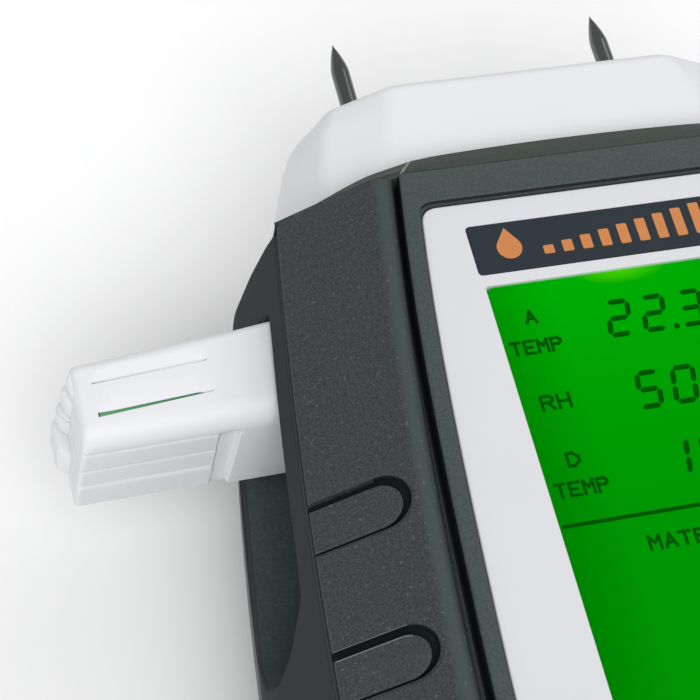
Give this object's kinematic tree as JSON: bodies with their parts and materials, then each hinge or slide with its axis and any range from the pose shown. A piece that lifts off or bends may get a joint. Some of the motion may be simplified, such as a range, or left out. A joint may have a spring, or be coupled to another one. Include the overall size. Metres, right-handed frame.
{
  "type": "moisture meter",
  "caption": "Hand-held moisture meter with steel contact pins, backlit display, keys and a swing-out vented humidity sensor.",
  "frame": {"origin": "centre of the flat back, which lies on the bench", "axes": "+Z out of the display, +Y towards the contact pins, +X to the right of the display"},
  "size_m": [0.0742, 0.1644, 0.0366],
  "materials": {
    "dark_shell": "fine satin moulded plastic",
    "grip_rubber": "fine textured soft-touch",
    "white_plastic": "satin white moulded plastic",
    "label": "printed film, satin",
    "display_lens": "backlit green display window, gloss",
    "lcd_glass": "liquid crystal cell",
    "light_guide": "light guide",
    "circuit_board": "solder-masked fibreglass board",
    "steel": "ground steel",
    "black_plastic": "moulded black",
    "key_rubber": "silicone keys",
    "battery_wrap": "printed steel can",
    "copper": "copper foil"
  },
  "bodies": {
    "case": {"front_shell": "dark_shell", "rear_shell": "dark_shell", "left_grip": "grip_rubber", "right_grip": "grip_rubber", "window_plate": "white_plastic", "top_cap": "white_plastic", "label_band": "label", "display_lens": "display_lens", "lcd_panel": "lcd_glass", "backlight": "light_guide", "main_pcb": "circuit_board", "pin_left": "steel", "pin_right": "steel", "pin_nut_left": "steel", "pin_nut_right": "steel", "hinge_pin": "steel", "hinge_washer": "steel", "contact_plus": "steel", "contact_minus": "steel", "case_screw_1": "steel", "case_screw_2": "steel", "case_screw_3": "steel", "case_screw_4": "steel", "board_screw_1": "steel", "board_screw_2": "steel", "pin_block": "black_plastic", "buzzer": "black_plastic", "battery_connector": "black_plastic", "keypad_membrane": "key_rubber", "battery": "battery_wrap", "rear_electrode": "copper"},
    "sensor_arm": {"sensor_cover_front": "white_plastic", "sensor_cover_rear": "white_plastic", "sensor_pcb": "circuit_board", "humidity_chip": "black_plastic"},
    "battery_door": {"battery_door": "dark_shell"},
    "button_mode": {"button_mode": "key_rubber"},
    "button_hold": {"button_hold": "key_rubber"},
    "button_menu": {"button_menu": "key_rubber"},
    "button_power": {"button_power": "key_rubber"}
  },
  "joints": [
    {"name": "sensor_hinge", "type": "hinge", "parent": "case", "child": "sensor_arm", "pos_m": [-0.024, 0.0527, 0.022], "axis": [0, 0, 1], "range_deg": [0, 90]},
    {"name": "battery_door_slide", "type": "slide", "parent": "case", "child": "battery_door", "axis": [0, -1, 0], "range_m": [0, 0.052]},
    {"name": "button_mode_press", "type": "slide", "parent": "case", "child": "button_mode", "axis": [0, 0, -1], "range_m": [0, 0.0008], "stiffness_N_per_m": 450, "springref_m": -0.0006},
    {"name": "button_hold_press", "type": "slide", "parent": "case", "child": "button_hold", "axis": [0, 0, -1], "range_m": [0, 0.0008], "stiffness_N_per_m": 450, "springref_m": -0.0006},
    {"name": "button_menu_press", "type": "slide", "parent": "case", "child": "button_menu", "axis": [0, 0, -1], "range_m": [0, 0.0008], "stiffness_N_per_m": 450, "springref_m": -0.0006},
    {"name": "button_power_press", "type": "slide", "parent": "case", "child": "button_power", "axis": [0, 0, -1], "range_m": [0, 0.0008], "stiffness_N_per_m": 450, "springref_m": -0.0006}
  ]
}
